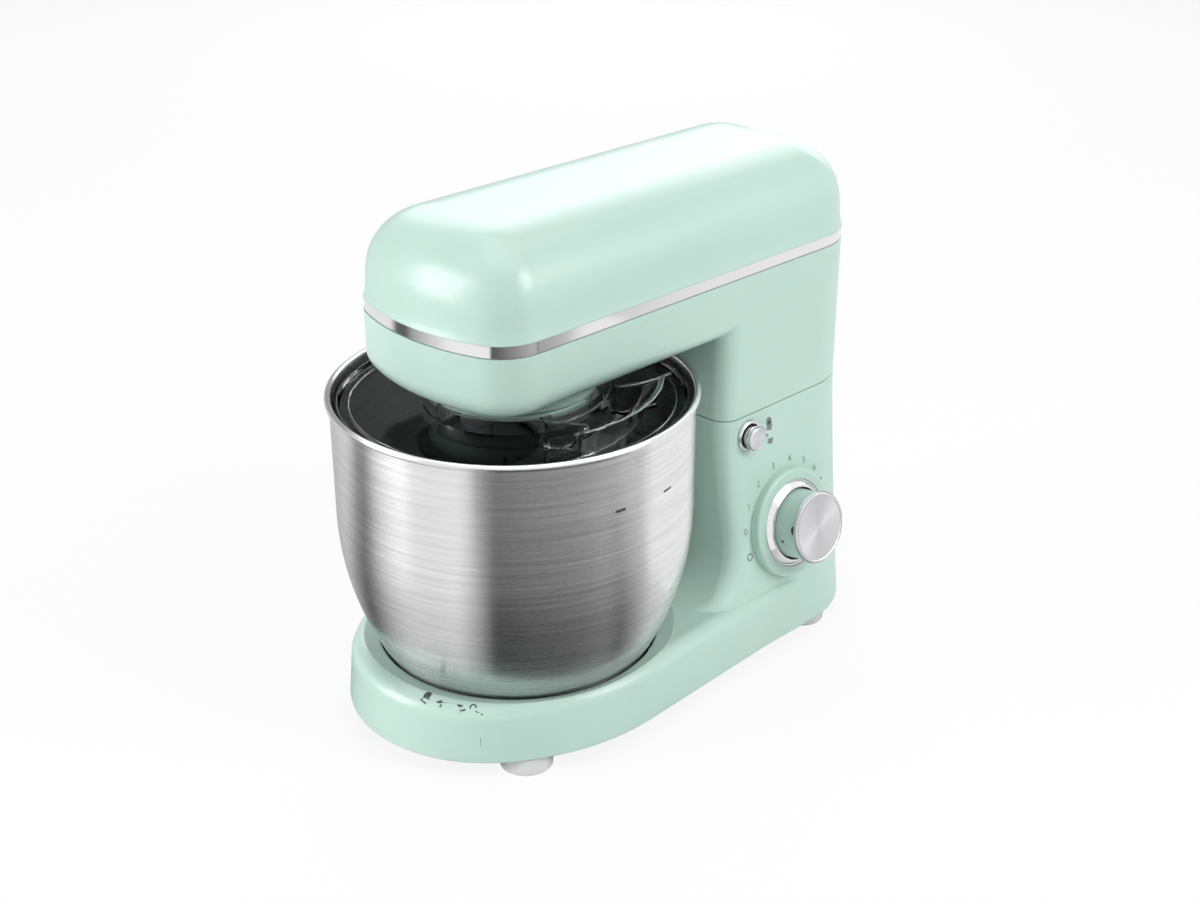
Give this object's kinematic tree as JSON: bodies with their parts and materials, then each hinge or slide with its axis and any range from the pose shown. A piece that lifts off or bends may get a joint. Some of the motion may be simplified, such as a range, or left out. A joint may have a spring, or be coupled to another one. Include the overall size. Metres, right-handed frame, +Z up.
{
  "type": "stand mixer",
  "caption": "Tilt-head stand mixer: steel bowl on a round platform, splash guard with feed chute, planetary dough hook, belt-driven motor, speed knob and release button.",
  "frame": {"origin": "on the ground under the middle of the mixer", "axes": "+Y from the bowl to the rear of the column, +X to the side with the knob, +Z up"},
  "size_m": [0.2224, 0.3619, 0.3185],
  "materials": {
    "mint_shell": "gloss",
    "pale_rubber": "soft matt",
    "bowl_steel": "brushed round the axis",
    "bright_trim": "bright",
    "silver_plastic": "satin",
    "collar_plastic": "gloss",
    "smoky_clear": "clear, smoky",
    "dark_plastic": "matt",
    "black_rubber": "matt",
    "cast_light": "satin",
    "plain_steel": "satin",
    "bush_metal": "satin",
    "board": "matt"
  },
  "bodies": {
    "base": {"base_housing": "mint_shell", "base_plate": "dark_plastic", "base_plate_screws": "plain_steel", "foot_front_left": "pale_rubber", "foot_front_right": "pale_rubber", "foot_rear_left": "pale_rubber", "foot_rear_right": "pale_rubber", "bowl_seat": "dark_plastic", "dial_ring": "bright_trim", "speed_switch": "dark_plastic", "control_board": "board", "release_button_ring": "bright_trim", "hinge_pin": "plain_steel", "interlock_switch": "dark_plastic", "cord_gland": "black_rubber"},
    "knob": {"speed_knob": "mint_shell", "knob_cap": "silver_plastic", "knob_shaft": "plain_steel"},
    "button": {"release_button": "silver_plastic", "latch_bolt": "plain_steel"},
    "bowl": {"bowl": "bowl_steel", "bowl_foot": "bowl_steel"},
    "head": {"head_housing": "mint_shell", "head_trim_band": "bright_trim", "head_top_cover": "mint_shell", "drive_collar": "collar_plastic", "ring_gear": "plain_steel", "gear_plate": "cast_light", "gear_bridge": "cast_light", "main_bush_lower": "bush_metal", "main_bush_upper": "bush_metal", "counter_bush_lower": "bush_metal", "counter_bush_upper": "bush_metal", "motor_stator": "plain_steel", "motor_bracket_lower": "cast_light", "motor_bracket_upper": "cast_light", "motor_pillars": "plain_steel", "motor_bearing_lower": "bush_metal", "motor_bearing_upper": "bush_metal", "brush_holders": "dark_plastic", "drive_belt": "black_rubber", "latch_catch": "plain_steel", "hinge_bush_left": "bush_metal", "hinge_bush_right": "bush_metal"},
    "guard": {"splash_guard": "smoky_clear"},
    "planetary": {"planet_carrier": "cast_light", "main_shaft": "plain_steel", "main_gear": "plain_steel"},
    "tool": {"planet_gear": "dark_plastic", "tool_spindle": "plain_steel", "dough_hook": "cast_light", "hook_shield": "dark_plastic"},
    "counter": {"countershaft": "plain_steel", "driven_pulley": "cast_light", "pinion": "plain_steel"},
    "rotor": {"armature": "plain_steel", "commutator": "bush_metal", "cooling_fan": "dark_plastic", "motor_pulley": "cast_light"}
  },
  "joints": [
    {"name": "head_tilt", "type": "hinge", "parent": "base", "child": "head", "pos_m": [0, 0.165, 0.1797], "axis": [-1, 0, 0], "range_deg": [0, 35]},
    {"name": "release_press", "type": "slide", "parent": "base", "child": "button", "axis": [-1, 0, 0], "range_m": [0, 0.004], "stiffness_N_per_m": 500},
    {"name": "knob_turn", "type": "hinge", "parent": "base", "child": "knob", "pos_m": [0.07998, 0.097, 0.0825], "axis": [-0.9816, 0, -0.1908], "range_deg": [-30, 150]},
    {"name": "bowl_turn", "type": "hinge", "parent": "base", "child": "bowl", "pos_m": [0, -0.069, 0.024], "axis": [0, 0, 1], "range_deg": [0, 40]},
    {"name": "guard_turn", "type": "hinge", "parent": "head", "child": "guard", "pos_m": [0, -0.069, 0.2], "axis": [0, 0, 1], "range_deg": [0, 25]},
    {"name": "motor_spin", "type": "hinge", "parent": "head", "child": "rotor", "pos_m": [0, 0.1, 0.214], "axis": [0, 0, 1], "continuous": true},
    {"name": "counter_spin", "type": "hinge", "parent": "head", "child": "counter", "pos_m": [0, -0.024, 0.235], "axis": [0, 0, 1], "continuous": true},
    {"name": "planetary_spin", "type": "hinge", "parent": "head", "child": "planetary", "pos_m": [0, -0.069, 0.205], "axis": [0, 0, 1], "continuous": true},
    {"name": "tool_spin", "type": "hinge", "parent": "planetary", "child": "tool", "pos_m": [0, -0.097, 0.2], "axis": [0, 0, 1], "continuous": true}
  ],
  "couplings": [
    {"joint": "counter_spin", "follows": "motor_spin", "ratio": 0.2},
    {"joint": "planetary_spin", "follows": "motor_spin", "ratio": -0.066667},
    {"joint": "tool_spin", "follows": "motor_spin", "ratio": 0.2}
  ]
}
